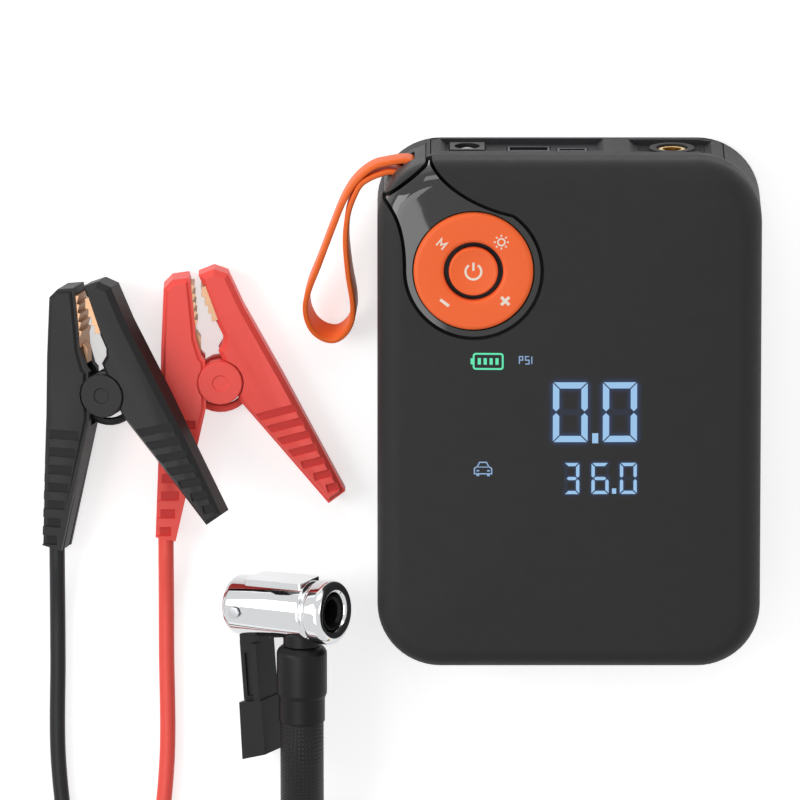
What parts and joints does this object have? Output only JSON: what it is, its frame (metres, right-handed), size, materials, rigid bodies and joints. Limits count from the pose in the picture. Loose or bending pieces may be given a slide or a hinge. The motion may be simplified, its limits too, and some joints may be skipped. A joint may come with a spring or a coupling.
{
  "type": "jump starter pack",
  "caption": "Handheld jump starter pack with a built-in air compressor: unit with display, control ring and wrist strap, two battery clamps on a plug, and an air hose with a tyre chuck",
  "frame": {"origin": "centre of the unit's flat back, which lies on the table with the rest of the kit", "axes": "+Z out of the unit's front, +Y towards the port panel, +X to the unit's right"},
  "size_m": [0.2388, 0.4052, 0.0473],
  "materials": {
    "soft_touch": "soft-touch matt",
    "knurled_plastic": "finely knurled",
    "gloss_black": "piano black",
    "dark_plastic": "satin",
    "black_rubber": "matt",
    "orange_keys": "satin",
    "red_plastic": "satin",
    "display": "segment display behind the cover",
    "circuit_board": "solder mask",
    "cell_pouch": "laminated foil pouch",
    "orange_rubber": "smooth",
    "hose_braid": "textile braid over rubber",
    "lens_glass": "clear",
    "steel": "plated",
    "chrome": "polished",
    "brass": "turned",
    "copper": "copper-plated",
    "cast_aluminium": "die cast"
  },
  "bodies": {
    "root": {"rear_cover": "knurled_plastic", "port_panel": "knurled_plastic", "front_cover": "soft_touch", "control_bezel": "gloss_black", "display_module": "display", "main_board": "circuit_board", "strap_anchor": "dark_plastic", "strap_pin": "steel", "wrist_strap": "orange_rubber", "torch_bezel": "dark_plastic", "torch_lens": "lens_glass", "usb_a_port": "steel", "usb_c_port": "steel", "air_outlet": "brass", "air_tube": "black_rubber", "pump_frame": "cast_aluminium", "compressor_motor": "steel", "jump_socket": "dark_plastic", "lead_plug": "dark_plastic", "black_lead": "black_rubber", "red_lead": "red_plastic", "chuck_head": "chrome", "chuck_seal": "black_rubber", "lever_pin": "steel", "hose_boot": "black_rubber", "air_hose": "hose_braid", "hose_nipple": "brass", "battery_cell_1": "cell_pouch", "battery_cell_2": "cell_pouch", "battery_cell_3": "cell_pouch", "case_screw_1": "steel", "case_screw_2": "steel", "case_screw_3": "steel", "case_screw_4": "steel", "black_clamp_body": "dark_plastic", "black_pivot_pin": "dark_plastic", "black_spring": "steel", "black_fixed_jaw": "copper", "black_link_wire": "black_rubber", "red_clamp_body": "red_plastic", "red_pivot_pin": "red_plastic", "red_spring": "steel", "red_fixed_jaw": "copper", "red_link_wire": "red_plastic"},
    "power_button": {"power_button": "orange_keys"},
    "ring_carrier": {"keypad_mat": "black_rubber"},
    "control_ring": {"control_ring": "orange_keys"},
    "black_lever": {"black_clamp_lever": "dark_plastic", "black_moving_jaw": "copper"},
    "red_lever": {"red_clamp_lever": "red_plastic", "red_moving_jaw": "copper"},
    "chuck_lever": {"chuck_lever": "dark_plastic"},
    "socket_cover": {"socket_cover": "black_rubber"},
    "hose_nut": {"hose_nut": "brass"},
    "drive_gear": {"drive_gear": "dark_plastic"},
    "motor_pinion": {"motor_pinion": "brass"}
  },
  "joints": [
    {"name": "power_press", "type": "slide", "parent": "root", "child": "power_button", "axis": [0, 0, -1], "range_m": [0, 0.0004], "stiffness_N_per_m": 800},
    {"name": "ring_tilt_a", "type": "hinge", "parent": "root", "child": "ring_carrier", "pos_m": [-0.0318, 0.0504, 0.0442], "axis": [0.7071, 0.7071, 0], "range_deg": [-0.7, 0.7], "stiffness_Nm_per_rad": 2},
    {"name": "ring_tilt_b", "type": "hinge", "parent": "ring_carrier", "child": "control_ring", "pos_m": [-0.0318, 0.0504, 0.0442], "axis": [-0.7071, 0.7071, 0], "range_deg": [-0.7, 0.7], "stiffness_Nm_per_rad": 2},
    {"name": "black_clamp_open", "type": "hinge", "parent": "root", "child": "black_lever", "pos_m": [-0.1532, 0.0014, 0.01248], "axis": [0.3338, 0, -0.9426], "range_deg": [0, 28], "stiffness_Nm_per_rad": 1.5, "springref_deg": -28.65},
    {"name": "red_clamp_open", "type": "hinge", "parent": "root", "child": "red_lever", "pos_m": [-0.1158, 0.0044, 0.00635], "axis": [0, 0, -1], "range_deg": [0, 28], "stiffness_Nm_per_rad": 1.5, "springref_deg": -28.65},
    {"name": "chuck_lever_flip", "type": "hinge", "parent": "root", "child": "chuck_lever", "pos_m": [-0.1053, -0.07182, 0.0114], "axis": [0.552, 0.0386, -0.8329], "range_deg": [0, 85]},
    {"name": "socket_cover_open", "type": "hinge", "parent": "root", "child": "socket_cover", "pos_m": [0.0623, -0.045, 0.0067], "axis": [0, 1, 0], "range_deg": [0, 90]},
    {"name": "nut_spin", "type": "hinge", "parent": "root", "child": "hose_nut", "pos_m": [0.0353, -0.1547, 0.00975], "axis": [0, 1, 0], "continuous": true},
    {"name": "gear_spin", "type": "hinge", "parent": "root", "child": "drive_gear", "pos_m": [0.024, 0.0165, 0.021], "axis": [0, 1, 0], "continuous": true},
    {"name": "pinion_spin", "type": "hinge", "parent": "root", "child": "motor_pinion", "pos_m": [0.042, 0.0165, 0.021], "axis": [0, 1, 0], "continuous": true}
  ],
  "couplings": [
    {"joint": "pinion_spin", "follows": "gear_spin", "ratio": -3}
  ]
}
